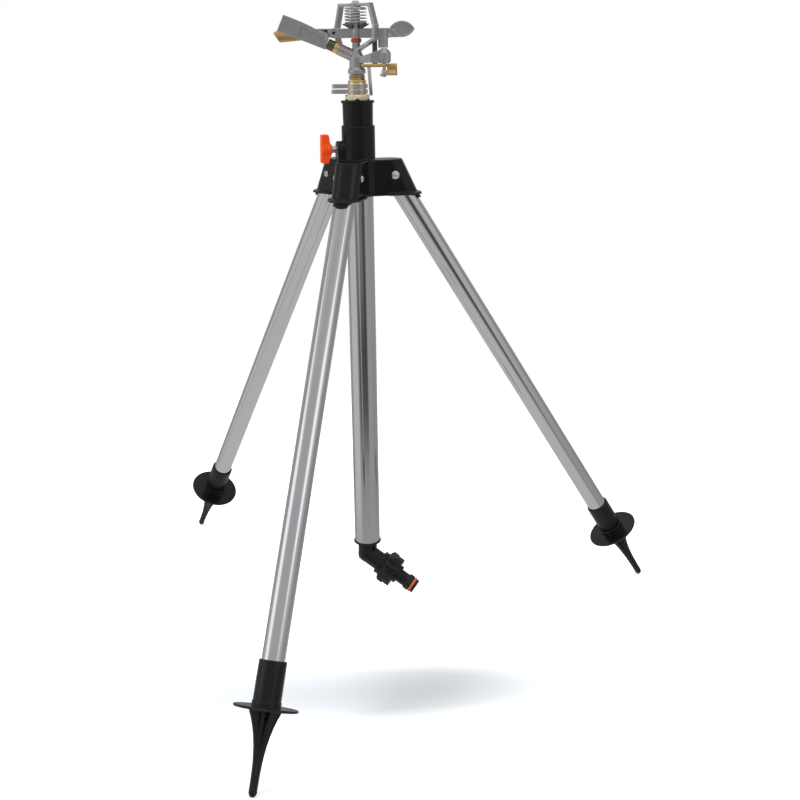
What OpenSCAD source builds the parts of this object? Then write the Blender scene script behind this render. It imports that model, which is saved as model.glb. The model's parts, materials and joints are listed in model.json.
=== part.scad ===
// Tripod stand with a telescoping riser column and a part-circle impact sprinkler head.
// The origin is on the ground under the column axis, +Z is up and -Y points along the front leg.

/* [Tripod] */
// Length of a leg from its pivot to the tip of its ground spike
leg_length = 520.6; // [480:1:560]
// Angle between an open leg and the vertical
leg_spread = 31.8; // [29:0.1:33]
// Distance of the leg pivots from the column axis
pivot_r = 31; // [31:0.1:31.6]
// Outer diameter of the leg tubes
leg_d = 19; // [18:0.1:19]
// Wall of the leg tubes
leg_wall = 0.9; // [0.7:0.1:1.5]
// Diameter of the plate above each ground spike
foot_plate_d = 52.3; // [40:0.1:56]
// Height of that plate above the spike tip, along the leg
foot_plate_h = 66.3; // [55:0.1:75]
// Length of the socket above that plate
foot_socket_h = 35.8; // [25:0.1:50]

/* [Column] */
// Outer diameter of the riser column
column_d = 25; // [24:0.1:25]
// Length of the column tube
column_length = 423; // [400:1:430]
// Wall of the column tube
column_wall = 1.2; // [0.8:0.1:1.8]
// Height of the cap between the neck of the hub and the cap's flange
cap_h = 19.3; // [16:0.1:22]
// Compass direction that the hose inlet points in
inlet_turn = -5; // [-20:1:-2]
// Angle of the hose inlet below the horizontal
inlet_dip = 30; // [20:1:45]

/* [Hub] */
// Outer diameter of the neck that guides the column
neck_d = 30; // [29:0.1:30.5]
// Half the outer width of a leg housing
housing_half_w = 12.3; // [12.1:0.1:12.6]
// Height of the clamp screw above the leg pivots
clamp_h = 23.5; // [22:0.5:26]

/* [Sprinkler head] */
// Compass direction of the head: its nozzle points the opposite way
head_turn = 18; // [0:1:90]
// Angle of the jet above the horizontal
jet_rise = 25; // [20:1:27]
// Across flats of the nipple's hexagon
hex_flats = 21.5; // [19:0.5:23]
// Angle between the bridge over the arm and the arm itself
bridge_turn = 35; // [30:1:40]
// Number of turns of the arm's return spring
arm_spring_turns = 6; // [4:1:7]

/* [Hidden] */
$fn = 64;
eps = 0.01;
running_gap = 0.06;
press_gap = 0.02;

// Leg directions round the column
front_turn = -90;
right_turn = 30;
left_turn = 150;
leg_turns = [front_turn, right_turn, left_turn];

// Tripod, worked out from the leg
pivot_z = leg_length * cos(leg_spread);
leg_r = leg_d / 2;
leg_top = 7.2;
rivet_r = 2.5;
rivet_head_r = 4;
rivet_head_h = 1.8;
clinch_r = 3;
clinch_h = 1.3;
spike_half_w = 14.5;
spike_tip_r = 3.1;
spike_flare = 2.8;
fin_t = 3.2;
plate_t = 2.1;
socket_r = 11.35;
socket_floor = 6;

// Hub heights, from the pivots
housing_top = pivot_z + 14;
housing_bottom = pivot_z - 18.3;
neck_top = pivot_z + 44;
column_r = column_d / 2;
neck_bore_r = column_r + 0.1;
neck_r = neck_d / 2;
housing_slope = 25.8;
housing_reach = pivot_r + 15.7;
pocket_r = leg_r + 0.4;
pocket_top = housing_top - 2.2;
pocket_in = 18;
pocket_sweep_r = norm([leg_r, leg_top]) + 0.4;
lip_t = 2.2;
lip_w = 3;
tongue_drop = 3.3;
tongue_half_w = 7;
tongue_t = 1.8;
fillet_r = 10;

// Clamp
clamp_turn = 210;
clamp_z = pivot_z + clamp_h;
boss_r = 7.3;
boss_end = 20.2;
screw_r = 3;
nut_flats = 10;
nut_at = 14.4;
nut_t = 4.6;

// Column heights
cap_z = neck_top + cap_h;
cap_flange_t = 2.2;
cap_flange_r = 14.8;
cap_foot_r = 13.35;
cap_draft = 0.3;
cap_foot_z = neck_top + 0.3;
cap_top_t = 2.8;
column_top = cap_z - cap_top_t;
column_bottom = column_top - column_length;
column_bore_r = column_r - column_wall;
cap_spigot_h = 22;
thread_r = 10.45;
thread_l = 12;
oring_t = 1.2;
oring_wire_r = 0.56;
oring_mid_in = 0.64;

// Hose inlet
elbow_r = 9.4;
elbow_bore_r = 6.4;
elbow_ball = 0.4;
elbow_flange_r = 13.6;
elbow_flange_t = 1.8;
elbow_drop = 15.4;
elbow_z = column_bottom - elbow_drop;
elbow_arm = 15.3;
shoulder_r = 12.1;
shoulder_t = 5;
stub_end = 31;
washer_t = 1.8;
lobe_r = 15.3;
lobe_w = 14.5;
grip_r = 12.6;
grip_start = 20.5;
grip_end = 35.5;
step_r = 9.5;
step_end = 39;
nose_neck_r = 6.8;
nose_collar_r = 8.1;
nose_collar_z = [48.3, 53.6];
nose_tip_r = 7.2;
nose_end = 59.3;
hose_oring_z = 55.4;
hose_oring_wire_r = 1.3;
adaptor_bore_r = 4.8;

// Head heights, above the top of the column cap
head_z = cap_z + cap_flange_t;
hex_h = 4.8;
hex_corner_r = hex_flats / 2 / cos(30);
neck_tube_r = 7.95;
neck_tube_top = 15;
seal_seat_z = 3;
seal_h = 3.95;
seal_gap = 0.05;
sleeve_r = 5;
sleeve_bore_r = 3.5;
sleeve_flange_r = 7.3;
sleeve_flange_t = 2;
collar_in = 8.02;
collar_out = 9.4;
collar_h = 4.3;
collar_z = [5.4, 10];
tab_reach = [22.9, 22.3];
tab_half_w = 2.3;
strip_t = 1.2;
ring_top = 17;
bell_z = 22;
bell_r = 7.8;
bell_h = 6;
body_r = 6.4;
post_r = 3.5;
post_top = 49;
pin_r = 2;
jet_root_z = 36.3;
barrel_r = 5.1;
barrel_end = 17.4;
nozzle_seat = 12;
nozzle_ring_l = 3.7;
nozzle_end = 27.8;
waterway_r = 3.4;

// Bridge, in its own upright plane: distances from the pin axis and heights
bridge_w = 7;
bridge_t = 2.4;
bridge_top = 81;
bridge_half_top = 15.4;
bridge_shoulder = [20.6, 62];
bridge_elbow = [19.6, 51.5];
bridge_strut = [2.4, 42.6];
far_shoulder = [-19.9, 61];
far_foot = [-18.9, 47.5];

// Trip mechanism
trip_at = [24, -6];
trip_boss_r = 6;
trip_boss_z = [31.3, 43];
plate_z = 28;
plate_h = 3;
trip_bar_y = [-9.4, -6.9];

// Impact arm
arm_low = 52.5;
arm_high = 60.5;
arm_half_t = 2.6;
arm_hub_r = 3.9;
arm_hub_top = 75;
duct_half_w = 8;
duct_wall = 2;
duct_start = 28.2;
duct_end = 71.6;
duct_top = 6.2;
duct_bow = 1.1;
eye_x = -19.4;
eye_z = 56.6;
weight_x = 40;
weight_z = 59.6;
weight_half = [11.3, 6.8];
arm_post = [23.5, -2.5];
arm_post_r = 4.3;

// Springs
arm_spring_z = [64.6, 77.6];
arm_spring_mean_r = 9.2;
arm_wire_r = 0.55;
bearing_spring_z = [17.1, 21.9];
bearing_spring_turns = 3;
bearing_spring_mean_r = 6.6;
bearing_wire_r = 0.6;

zinc = [0.62, 0.62, 0.63];
brass = [0.83, 0.66, 0.34];
nickel = [0.74, 0.70, 0.66];
steel = [0.80, 0.80, 0.80];
aluminium = [0.86, 0.86, 0.88];
black_plastic = [0.07, 0.07, 0.08];
rubber = [0.05, 0.05, 0.05];

// ---------- Frames ----------

// Leg frame: the pivot is at the origin and the leg runs down -Z
module on_leg(turn) {
    rotate([0, 0, turn]) translate([pivot_r, 0, pivot_z]) rotate([0, -leg_spread, 0]) children();
}

// Clamp frame: X runs out of the neck along the screw
module on_clamp() {
    translate([0, 0, clamp_z]) rotate([0, 0, clamp_turn]) children();
}

// Inlet frame: Z runs out of the elbow towards the hose
module on_inlet() {
    translate([0, 0, elbow_z]) rotate([0, 0, inlet_turn]) rotate([0, 90 + inlet_dip, 0]) children();
}

// Head frame: the nozzle side is -X and the front is -Y
module on_head() {
    translate([0, 0, head_z]) rotate([0, 0, head_turn]) children();
}

// Jet frame: X runs along the jet and Z away from it
module along_jet() {
    translate([0, 0, jet_root_z]) rotate([0, jet_rise, 0]) mirror([1, 0, 0]) children();
}

// Bridge frame: X runs across the head in the plane of the bridge
module on_bridge() {
    rotate([0, 0, -bridge_turn]) children();
}

// Extrudes an upright outline between two depths
module upright(y_low, y_high) {
    translate([0, y_high, 0]) rotate([90, 0, 0]) linear_extrude(y_high - y_low) children();
}

// ---------- Shared shapes ----------

module tube(r_out, r_in, h) {
    difference() {
        cylinder(r = r_out, h = h);
        translate([0, 0, -1]) cylinder(r = r_in, h = h + 2);
    }
}

// Ring of round section, lying flat
module oring(r_mid, r_wire) {
    rotate_extrude() translate([r_mid, 0]) circle(r = r_wire, $fn = 24);
}

// Point on a coil, with dead ends that lie flat
function coil_point(i, n, turns, r, z_low, z_high) =
    let (
        a = 360 * turns * i / n,
        f = min(1, max(0, (turns * i / n - 0.6) / (turns - 1.2)))
    )
    [r * cos(a), r * sin(a), z_low + f * (z_high - z_low)];

// Closed wire of eight sides along a coil
module coil(turns, r, wire_r, z_low, z_high) {
    n = turns * 22;
    sides = 8;
    rings = [
        for (i = [0:n])
            let (a = 360 * turns * i / n, p = coil_point(i, n, turns, r, z_low + wire_r, z_high - wire_r))
            for (k = [0:sides - 1])
                p + wire_r * [cos(a) * cos(k * 45), sin(a) * cos(k * 45), sin(k * 45)]
    ];
    walls = [
        for (i = [0:n - 1], k = [0:sides - 1])
            let (a = i * sides + k, b = i * sides + (k + 1) % sides)
            [a, b, b + sides, a + sides]
    ];
    ends = [[for (k = [sides - 1:-1:0]) k], [for (k = [0:sides - 1]) n * sides + k]];
    polyhedron(points = rings, faces = concat(walls, ends));
}

// ---------- Hub ----------

// Radius of the outer end of a housing at a height
function housing_end(z) = housing_reach - (z - pivot_z) * tan(housing_slope);

module housing(extra) {
    inset = housing_half_w / cos(housing_slope);
    half_w = housing_half_w + extra;
    translate([housing_end(pivot_z) - inset, 0, pivot_z])
        rotate([0, -housing_slope, 0]) cylinder(r = half_w, h = 90, center = true);
    upright(-half_w, half_w)
        polygon([
            [0, housing_bottom - 12],
            [housing_end(housing_bottom - 12) - inset, housing_bottom - 12],
            [housing_end(housing_top + 12) - inset, housing_top + 12],
            [0, housing_top + 12]
        ]);
}

module housing_slice(extra, x_low, z_low, z_high) {
    intersection() {
        housing(extra);
        translate([x_low, -40, z_low]) cube([90, 80, z_high - z_low]);
    }
}

// Room for a leg between open and folded
module leg_pocket() {
    intersection() {
        union() {
            // sweep of the tube's top end
            intersection() {
                translate([pivot_r, 0, pivot_z - 1]) cylinder(r = pocket_r + 0.3, h = 20);
                translate([pivot_r, 0, pivot_z]) rotate([90, 0, 0])
                    cylinder(r = pocket_sweep_r, h = 40, center = true);
            }
            translate([pivot_r, 0, pivot_z]) rotate([0, -leg_spread, 0])
                translate([0, 0, -70]) cylinder(r = pocket_r, h = 70 + leg_top + 0.5);
            upright(-pocket_r, pocket_r)
                polygon([
                    [pocket_in, housing_bottom - 8],
                    [pivot_r + (pivot_z - housing_bottom + 8) * tan(leg_spread), housing_bottom - 8],
                    [pivot_r - 1, pivot_z],
                    [pivot_r + 3.6, pocket_top],
                    [pocket_in, pocket_top]
                ]);
        }
        translate([0, -30, housing_bottom - 10]) cube([90, 60, pocket_top - housing_bottom + 10]);
    }
}

// Half-round tongue under a housing's lip, which the open leg leans on
module leg_tongue() {
    intersection() {
        translate([pivot_r, 0, pivot_z]) rotate([0, -leg_spread, 0])
            difference() {
                translate([0, 0, -60]) cylinder(r = pocket_r + tongue_t, h = 60);
                translate([0, 0, -61]) cylinder(r = pocket_r, h = 62);
                translate([-32, -20, -61]) cube([40, 40, 62]);
            }
        translate([0, -tongue_half_w, housing_bottom - tongue_drop])
            cube([90, 2 * tongue_half_w, tongue_drop + 1]);
    }
}

// Solid between the housings, with a hollow of fillet_r between each pair
module hub_core() {
    along = (housing_half_w + fillet_r) / sin(60);
    translate([0, 0, housing_bottom]) linear_extrude(housing_top - housing_bottom)
        difference() {
            rotate(30) circle(r = along * sin(60) - 4.6, $fn = 6);
            for (turn = leg_turns) rotate(turn + 60) translate([along, 0]) circle(r = fillet_r);
        }
}

module hub() {
    color(black_plastic) difference() {
        union() {
            hub_core();
            for (turn = leg_turns) rotate([0, 0, turn]) {
                housing_slice(0, 0, housing_bottom, housing_top);
                housing_slice(lip_w, pocket_in + 6, housing_bottom, housing_bottom + lip_t);
                leg_tongue();
            }
            translate([0, 0, housing_bottom]) cylinder(r = neck_r, h = neck_top - housing_bottom);
            on_clamp() {
                rotate([0, 90, 0]) cylinder(r = boss_r, h = boss_end);
                translate([0, -boss_r, housing_top - clamp_z - 1])
                    cube([boss_end, 2 * boss_r, clamp_z - housing_top + 1]);
            }
        }
        translate([0, 0, housing_bottom - 1]) cylinder(r = neck_bore_r, h = neck_top - housing_bottom + 2);
        for (turn = leg_turns) rotate([0, 0, turn]) {
            leg_pocket();
            translate([pivot_r, 0, pivot_z]) rotate([90, 0, 0])
                cylinder(r = rivet_r + press_gap, h = 40, center = true);
        }
        on_clamp() {
            translate([column_r - 2, 0, 0]) rotate([0, 90, 0])
                cylinder(r = screw_r + 0.15, h = boss_end);
            translate([nut_at - 0.05, 0, 0]) rotate([0, 90, 0])
                cylinder(d = (nut_flats + 0.1) / cos(30), h = nut_t + 0.1, $fn = 6);
        }
    }
}

// One rivet for each leg, with a domed head and a clinched end that has a dimple
module leg_rivets() {
    grip = housing_half_w;
    color(steel) for (turn = leg_turns)
        rotate([0, 0, turn]) translate([pivot_r, 0, pivot_z]) rotate([90, 0, 0]) difference() {
            union() {
                cylinder(r = rivet_r, h = 2 * grip, center = true);
                translate([0, 0, grip]) rivet_dome();
                translate([0, 0, -grip - clinch_h])
                    cylinder(r1 = clinch_r - 0.6, r2 = clinch_r, h = clinch_h);
            }
            translate([0, 0, -grip - clinch_h - 1]) cylinder(r = clinch_r / 2, h = 1.9);
        }
}

module rivet_dome() {
    ball_r = (rivet_head_r * rivet_head_r + rivet_head_h * rivet_head_h) / (2 * rivet_head_h);
    intersection() {
        translate([0, 0, rivet_head_h - ball_r]) sphere(r = ball_r);
        cylinder(r = rivet_head_r, h = rivet_head_h + 1);
    }
}

module clamp_nut() {
    color(steel) on_clamp() translate([nut_at, 0, 0]) rotate([0, 90, 0])
        difference() {
            cylinder(d = nut_flats / cos(30), h = nut_t, $fn = 6);
            translate([0, 0, -1]) cylinder(r = screw_r + 0.08, h = nut_t + 2);
        }
}

module clamp_screw() {
    tip = column_r + 0.05;
    color(steel) on_clamp() translate([tip, 0, 0]) rotate([0, 90, 0]) cylinder(r = screw_r, h = 31 - tip);
}

module wing_knob() {
    color([0.98, 0.32, 0.10]) on_clamp() difference() {
        union() {
            upright(-4.2, 4.2)
                polygon([
                    [34.2, 12.6], [33.2, 13.2], [28.3, 13.2], [27.5, 12.6], [26.8, 6.4], [25.4, 4.2],
                    [25.4, -4.2], [27, -7.6], [28, -11.4], [28.8, -12], [33.8, -12], [34.8, -11]
                ]);
            translate([24.8, 0, 0]) rotate([0, 90, 0]) cylinder(r1 = 4.4, r2 = 6, h = 2);
            translate([26.6, 0, 0]) rotate([0, 90, 0]) cylinder(r = 6, h = 7.6);
        }
        translate([20, 0, 0]) rotate([0, 90, 0]) cylinder(r = screw_r, h = 11);
    }
}

// ---------- Legs ----------

module cross_hole() {
    rotate([90, 0, 0]) cylinder(r = rivet_r + running_gap, h = 40, center = true);
}

module leg_tube(turn) {
    low = foot_plate_h + plate_t + socket_floor - leg_length;
    color(aluminium) on_leg(turn) difference() {
        translate([0, 0, low]) tube(leg_r, leg_r - leg_wall, leg_top - low);
        cross_hole();
    }
}

module leg_plug(turn) {
    plug_l = 24;
    color(black_plastic) on_leg(turn) difference() {
        translate([0, 0, leg_top - plug_l - 0.6]) cylinder(r = leg_r - leg_wall - press_gap, h = plug_l);
        cross_hole();
    }
}

// Half-width of a spike's fin at a height above the tip
function fin_half(f) = spike_tip_r + (spike_half_w - spike_tip_r) * pow(f, spike_flare);

module spike_fin() {
    steps = 9;
    low = spike_tip_r;
    side = [for (i = [0:steps]) [fin_half(i / steps), low + (foot_plate_h - low) * i / steps]];
    upright(-fin_t / 2, fin_t / 2)
        polygon(concat(side, [for (i = [steps:-1:0]) [-side[i][0], side[i][1]]]));
}

module foot(turn) {
    plate_top = foot_plate_h + plate_t;
    color(black_plastic) on_leg(turn) translate([0, 0, -leg_length]) difference() {
        union() {
            translate([0, 0, spike_tip_r]) sphere(r = spike_tip_r);
            for (a = [45, 135]) rotate([0, 0, a]) spike_fin();
            spike_core();
            translate([0, 0, foot_plate_h]) cylinder(d = foot_plate_d - 1, h = plate_t);
            translate([0, 0, foot_plate_h + 0.6]) cylinder(d = foot_plate_d, h = plate_t - 1.2);
            translate([0, 0, plate_top - eps]) cylinder(r = socket_r + 0.6, h = 4);
            translate([0, 0, plate_top - eps]) cylinder(r = socket_r, h = foot_socket_h);
        }
        translate([0, 0, plate_top + socket_floor]) cylinder(r = leg_r + press_gap, h = foot_socket_h);
    }
}

module spike_core() {
    translate([0, 0, spike_tip_r])
        cylinder(r1 = spike_tip_r, r2 = spike_tip_r + 0.6, h = foot_plate_h - spike_tip_r + eps);
}

module leg_tube_front() { leg_tube(front_turn); }
module leg_tube_right() { leg_tube(right_turn); }
module leg_tube_left() { leg_tube(left_turn); }
module leg_plug_front() { leg_plug(front_turn); }
module leg_plug_right() { leg_plug(right_turn); }
module leg_plug_left() { leg_plug(left_turn); }
module foot_front() { foot(front_turn); }
module foot_right() { foot(right_turn); }
module foot_left() { foot(left_turn); }

// ---------- Column ----------

module column_tube() {
    color(aluminium) translate([0, 0, column_bottom]) tube(column_r, column_bore_r, column_length);
}

// Groove for an O-ring on a spigot
module oring_groove(r) {
    difference() {
        cylinder(r = r + 2, h = 2 * oring_t, center = true);
        cylinder(r = r - oring_t, h = 4 * oring_t, center = true);
    }
}

// Cap with a skirt outside the tube and a sealed spigot inside it
module column_cap() {
    spigot_r = column_bore_r - press_gap;
    color(black_plastic) difference() {
        union() {
            difference() {
                union() {
                    translate([0, 0, cap_z]) cylinder(r = cap_flange_r, h = cap_flange_t);
                    translate([0, 0, cap_foot_z])
                        cylinder(r1 = cap_foot_r, r2 = cap_foot_r + cap_draft, h = cap_z - cap_foot_z + eps);
                }
                translate([0, 0, cap_foot_z - 1])
                    cylinder(r = column_r + press_gap, h = column_top - cap_foot_z + 1);
            }
            translate([0, 0, column_top - cap_spigot_h]) cylinder(r = spigot_r, h = cap_spigot_h + 1);
        }
        translate([0, 0, head_z - thread_l - 2]) cylinder(r = thread_r + press_gap, h = thread_l + 3);
        translate([0, 0, column_top - cap_spigot_h - 1]) cylinder(r = 7.5, h = 70);
        translate([0, 0, column_top - cap_spigot_h / 2]) oring_groove(spigot_r);
    }
}

module cap_oring() {
    color(rubber) translate([0, 0, column_top - cap_spigot_h / 2])
        oring(column_bore_r - oring_mid_in, oring_wire_r);
}

// Two straight arms that meet in a slightly larger ball
module elbow_pipe(r, top, reach) {
    translate([0, 0, elbow_z]) {
        sphere(r = r + elbow_ball);
        cylinder(r = r, h = top);
    }
    on_inlet() cylinder(r = r, h = reach);
}

module inlet_elbow() {
    spigot_h = 24;
    spigot_r = column_bore_r - press_gap;
    color(black_plastic) difference() {
        union() {
            elbow_pipe(elbow_r, elbow_drop, elbow_arm + 1);
            translate([0, 0, column_bottom - elbow_flange_t])
                cylinder(r = elbow_flange_r, h = elbow_flange_t);
            translate([0, 0, column_bottom - 1]) cylinder(r = spigot_r, h = spigot_h + 1);
            on_inlet() {
                translate([0, 0, elbow_arm]) cylinder(r = shoulder_r, h = shoulder_t);
                translate([0, 0, elbow_arm]) cylinder(r = thread_r, h = stub_end - elbow_arm);
            }
        }
        elbow_pipe(elbow_bore_r, elbow_drop + spigot_h + 1, stub_end + 1);
        translate([0, 0, column_bottom + spigot_h / 2]) oring_groove(spigot_r);
    }
}

module elbow_oring() {
    color(rubber) translate([0, 0, column_bottom + 12])
        oring(column_bore_r - oring_mid_in, oring_wire_r);
}

module inlet_washer() {
    color(rubber) on_inlet() translate([0, 0, stub_end]) tube(thread_r - 0.1, elbow_bore_r, washer_t);
}

// Tap-style plug: four grip lobes round a female thread, then the nose that a hose coupling snaps over
module hose_adaptor() {
    seat = stub_end + washer_t;
    color(black_plastic) on_inlet() difference() {
        union() {
            translate([0, 0, grip_start]) cylinder(r = grip_r, h = grip_end - grip_start);
            for (a = [0:90:270]) rotate([0, 0, a]) grip_lobe();
            translate([0, 0, grip_end - eps]) cylinder(r = step_r, h = step_end - grip_end + eps);
            translate([0, 0, grip_end]) cylinder(r = nose_neck_r, h = nose_end - grip_end);
            translate([0, 0, nose_collar_z[0]])
                cylinder(r = nose_collar_r, h = nose_collar_z[1] - nose_collar_z[0]);
            translate([0, 0, nose_collar_z[1] - eps])
                cylinder(r = nose_tip_r, h = nose_end - nose_collar_z[1] + eps);
        }
        translate([0, 0, grip_start - 1]) cylinder(r = thread_r + press_gap, h = seat - grip_start + 1);
        cylinder(r = adaptor_bore_r, h = 70);
        translate([0, 0, hose_oring_z]) difference() {
            cylinder(r = 9, h = 2 * hose_oring_wire_r + 0.2, center = true);
            cylinder(r = nose_collar_r - 2 * hose_oring_wire_r - 0.02, h = 4, center = true);
        }
    }
}

module grip_lobe() {
    intersection() {
        translate([0, -lobe_w / 2, grip_start]) cube([lobe_r, lobe_w, grip_end - grip_start]);
        translate([0, 0, grip_start]) cylinder(r1 = lobe_r - 1, r2 = lobe_r + 8, h = 8);
    }
    intersection() {
        translate([0, -lobe_w / 2, grip_start + 2]) cube([lobe_r, lobe_w, grip_end - grip_start - 2]);
        cylinder(r = lobe_r + 0.4, h = 60);
    }
}

module hose_oring() {
    color([0.85, 0.42, 0.18]) on_inlet() translate([0, 0, hose_oring_z])
        oring(nose_collar_r - hose_oring_wire_r, hose_oring_wire_r);
}

// ---------- Bearing between the column and the head ----------

module nipple_washer() {
    color(rubber) translate([0, 0, head_z - thread_l - 2]) tube(thread_r - 0.1, 7.5, 2);
}

module bearing_nipple() {
    color(brass) on_head() difference() {
        union() {
            translate([0, 0, -thread_l]) cylinder(r = thread_r, h = thread_l + eps);
            intersection() {
                rotate([0, 0, 30]) cylinder(r = hex_corner_r, h = hex_h, $fn = 6);
                for (end = [0, 1]) translate([0, 0, hex_h / 2]) mirror([0, 0, end])
                    cylinder(r1 = hex_corner_r + 0.1, r2 = hex_flats / 2 + 0.2, h = hex_h / 2);
            }
            cylinder(r = neck_tube_r, h = neck_tube_top);
        }
        translate([0, 0, -thread_l - 1]) cylinder(r = sleeve_flange_r + 0.2, h = thread_l + 1 + seal_seat_z);
        cylinder(r = sleeve_r + running_gap, h = 40);
    }
}

// Spring-steel strip round the neck, with its two ends brought out as one tab
module friction_collar(z_low, reach) {
    color(nickel) on_head() translate([0, 0, z_low]) linear_extrude(collar_h)
        difference() {
            union() {
                circle(r = collar_out);
                translate([-reach + tab_half_w, -tab_half_w]) square([reach - tab_half_w, 2 * tab_half_w]);
                translate([-reach + tab_half_w, 0]) circle(r = tab_half_w);
            }
            circle(r = collar_in);
            translate([-reach + tab_half_w, 0]) circle(r = tab_half_w - strip_t);
            translate([-reach + tab_half_w, strip_t - tab_half_w])
                square([reach - tab_half_w - collar_in + 1, 2 * (tab_half_w - strip_t)]);
        }
}

module friction_collar_lower() { friction_collar(collar_z[0], tab_reach[0]); }
module friction_collar_upper() { friction_collar(collar_z[1], tab_reach[1]); }

module collar_ring() {
    color(brass) on_head() translate([0, 0, neck_tube_top])
        tube(8.2, sleeve_r + running_gap, ring_top - neck_tube_top);
}

// Turning tube that carries the water into the head, held up by its flange
module bearing_sleeve() {
    flange_z = seal_seat_z - seal_h - seal_gap - sleeve_flange_t;
    color(brass) on_head() difference() {
        union() {
            translate([0, 0, flange_z]) cylinder(r = sleeve_flange_r, h = sleeve_flange_t);
            translate([0, 0, flange_z]) cylinder(r = sleeve_r, h = 30 - flange_z);
        }
        translate([0, 0, flange_z - 1]) cylinder(r = sleeve_bore_r, h = 40);
    }
}

module bearing_seal() {
    color([0.9, 0.9, 0.86]) on_head() translate([0, 0, seal_seat_z - seal_h])
        tube(sleeve_flange_r, sleeve_r + running_gap, seal_h);
}

module bearing_spring() {
    color(brass) on_head() coil(
        bearing_spring_turns, bearing_spring_mean_r, bearing_wire_r, bearing_spring_z[0], bearing_spring_z[1]
    );
}

// ---------- Sprinkler body ----------

// One straight stretch of the bridge strip between two points of its plane
module bridge_stretch(a, b) {
    run = b - a;
    slope = atan2(run[1], run[0]);
    upright(-bridge_w / 2, bridge_w / 2)
        translate(a) rotate(slope) translate([-bridge_t / 2, -bridge_t / 2])
            square([norm(run) + bridge_t, bridge_t]);
}

module bridge() {
    top = [bridge_half_top, bridge_top - bridge_t / 2];
    on_bridge() {
        bridge_stretch([-top[0], top[1]], top);
        translate([0, 0, bridge_top - bridge_t - 1.4]) cylinder(r = 4.6, h = bridge_t + 1.4);
        bridge_stretch(top, bridge_shoulder);
        bridge_stretch(bridge_shoulder, bridge_elbow);
        bridge_stretch(bridge_elbow, bridge_strut);
        bridge_stretch([-top[0], top[1]], far_shoulder);
        bridge_stretch(far_shoulder, far_foot);
    }
    // foot of the far leg on the back of the barrel
    upright(1.5, 12) polygon([[-15.4, 44.2], [-13.5, 43.4], [-12, 45], [-12, 49.5], [-15.4, 50]]);
    upright(5.3, 12) polygon([[-19.5, 46], [-15.3, 44.2], [-15.3, 50], [-19.5, 50.5]]);
}

// Bracket that carries the trip mechanism
module trip_bracket() {
    boss_h = trip_boss_z[1] - trip_boss_z[0];
    intersection() {
        translate([trip_at[0], trip_at[1], trip_boss_z[0]]) {
            cylinder(r1 = trip_boss_r - 1.6, r2 = trip_boss_r, h = 1.6);
            translate([0, 0, 1.6]) cylinder(r = trip_boss_r, h = boss_h - 4.6);
            translate([0, 0, boss_h - 3]) cylinder(r1 = trip_boss_r, r2 = trip_boss_r - 2.4, h = 3);
        }
        translate([0, -20, 0]) cube([60, 40, 60]);
    }
    upright(trip_at[1] - 5.2, trip_at[1] - 1)
        polygon([[12, 31.7], [22, 31.4], [22, 42.4], [20.4, 42.4], [12, 39.7]]);
    bracket_root();
}

// Stretch of the bracket that runs from the body out to the front
module bracket_root() {
    intersection() {
        translate([0, 0, 30]) linear_extrude(12)
            polygon([
                [0, 0], [0, -5.8], [2.2, -6.2], [12, -11.2],
                [14.2, -11.2], [14.2, -7], [12, -5.4], [5, 0]
            ]);
        upright(-20, 10) polygon([[-1, 31.9], [15, 31.6], [15, 40.7], [-1, 35.7]]);
    }
}

module sprinkler_body() {
    color(zinc) on_head() difference() {
        union() {
            translate([0, 0, bell_z]) cylinder(r1 = bell_r - 1.2, r2 = bell_r, h = 1.2);
            translate([0, 0, bell_z + 1.2]) cylinder(r = bell_r, h = bell_h - 3.2);
            translate([0, 0, bell_z + bell_h - 2]) cylinder(r1 = bell_r, r2 = body_r, h = 2);
            translate([0, 0, bell_z + 1]) cylinder(r = body_r, h = 14);
            translate([0, 0, bell_z + 15]) cylinder(r1 = body_r, r2 = post_r, h = 6);
            translate([0, 0, 30]) cylinder(r = post_r, h = post_top - 30);
            along_jet() rotate([0, 90, 0]) cylinder(r = barrel_r, h = barrel_end);
            bridge();
            trip_bracket();
        }
        translate([0, 0, bell_z - 1]) cylinder(r = sleeve_r + press_gap, h = 31 - bell_z);
        translate([0, 0, bell_z]) cylinder(r = waterway_r, h = jet_root_z - bell_z);
        translate([0, 0, jet_root_z]) sphere(r = waterway_r);
        along_jet() rotate([0, 90, 0]) {
            cylinder(r = waterway_r, h = barrel_end + 1);
            translate([0, 0, nozzle_seat]) cylinder(r = 4 + press_gap, h = barrel_end);
            translate([0, 0, barrel_end]) cylinder(r = barrel_r + 0.3, h = 14);
        }
        translate([0, 0, 42]) cylinder(r = pin_r + press_gap, h = 60);
        translate([trip_at[0], trip_at[1], 20]) cylinder(r = 1.5 + press_gap, h = 40);
    }
}

module range_nozzle() {
    color(brass) on_head() along_jet() rotate([0, 90, 0]) difference() {
        union() {
            translate([0, 0, nozzle_seat]) cylinder(r = 4, h = 8);
            translate([0, 0, barrel_end + 0.1]) cylinder(r = 4.9, h = nozzle_ring_l);
            translate([0, 0, 20]) cylinder(r = 4.6, h = nozzle_end - 20.5);
            translate([0, 0, nozzle_end - 0.5]) cylinder(r1 = 4.6, r2 = 4.1, h = 0.5);
        }
        translate([0, 0, nozzle_seat - 1]) cylinder(r1 = 3.4, r2 = 2, h = 9);
        cylinder(r = 2, h = 40);
    }
}

module fulcrum_pin() {
    color(steel) on_head() {
        translate([0, 0, 42]) cylinder(r = pin_r, h = bridge_top - 42 + eps);
        translate([0, 0, bridge_top]) cylinder(r1 = 3.5, r2 = 3, h = 1.4);
        translate([0, 0, bridge_top + 1.4]) cylinder(r1 = 3, r2 = 2, h = 0.8);
    }
}

module arm_washer() {
    color([0.72, 0.16, 0.12]) on_head() translate([0, 0, post_top])
        tube(4.55, pin_r + press_gap, 2.8);
}

// ---------- Impact arm ----------

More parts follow.
